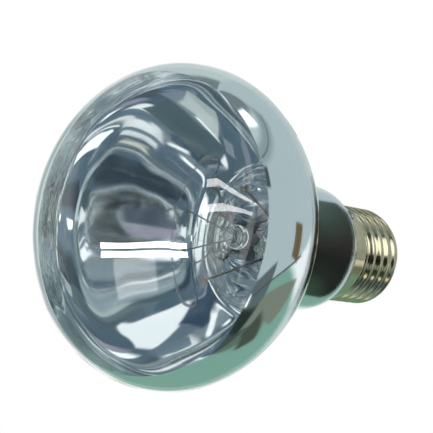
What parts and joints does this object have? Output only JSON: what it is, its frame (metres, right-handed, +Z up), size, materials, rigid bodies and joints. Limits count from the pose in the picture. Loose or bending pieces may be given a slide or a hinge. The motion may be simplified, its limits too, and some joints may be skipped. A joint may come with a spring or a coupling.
{
  "type": "reflector lamp bulb",
  "caption": "Reflector lamp bulb with a clear tinted face, a silvered back and neck, a filament on a glass stem, and a screw cap.",
  "frame": {"origin": "on the lamp's axis, at the flat end of the solder on the centre contact", "axes": "lamp axis level along Y: +Y out of the end of the cap, -Y out of the face; +Z up as pictured"},
  "size_m": [0.08, 0.107, 0.08],
  "materials": {
    "tinted_glass": "clear blown glass with a faint violet-blue tint",
    "silvering": "bright vacuum-coated metal",
    "nickelled_brass": "thin bright nickel plate on brass",
    "black_glass": "glossy pressed black glass",
    "contact_brass": "pressed bare sheet",
    "solder": "dull grey solder",
    "cement": "baked lamp cement",
    "stem_glass": "clear stem glass",
    "tungsten": "grey drawn tungsten",
    "copper_wire": "copper-clad wire",
    "nickel_wire": "nickel-plated wire",
    "support_wire": "drawn molybdenum wire"
  },
  "bodies": {
    "root": {"glass_bulb": "tinted_glass", "mirror_coating": "silvering", "cap_shell": "nickelled_brass", "cap_insulator": "black_glass", "centre_contact": "contact_brass", "centre_solder": "solder", "side_solder": "solder", "basing_cement": "cement", "stem": "stem_glass", "exhaust_tube": "stem_glass", "support_rod": "stem_glass", "filament": "tungsten", "centre_lead": "copper_wire", "side_lead": "copper_wire", "upper_inner_lead": "nickel_wire", "lower_inner_lead": "nickel_wire", "upper_seal_wire": "copper_wire", "lower_seal_wire": "copper_wire", "filament_support_1": "support_wire", "filament_support_2": "support_wire", "filament_support_3": "support_wire"}
  },
  "joints": []
}
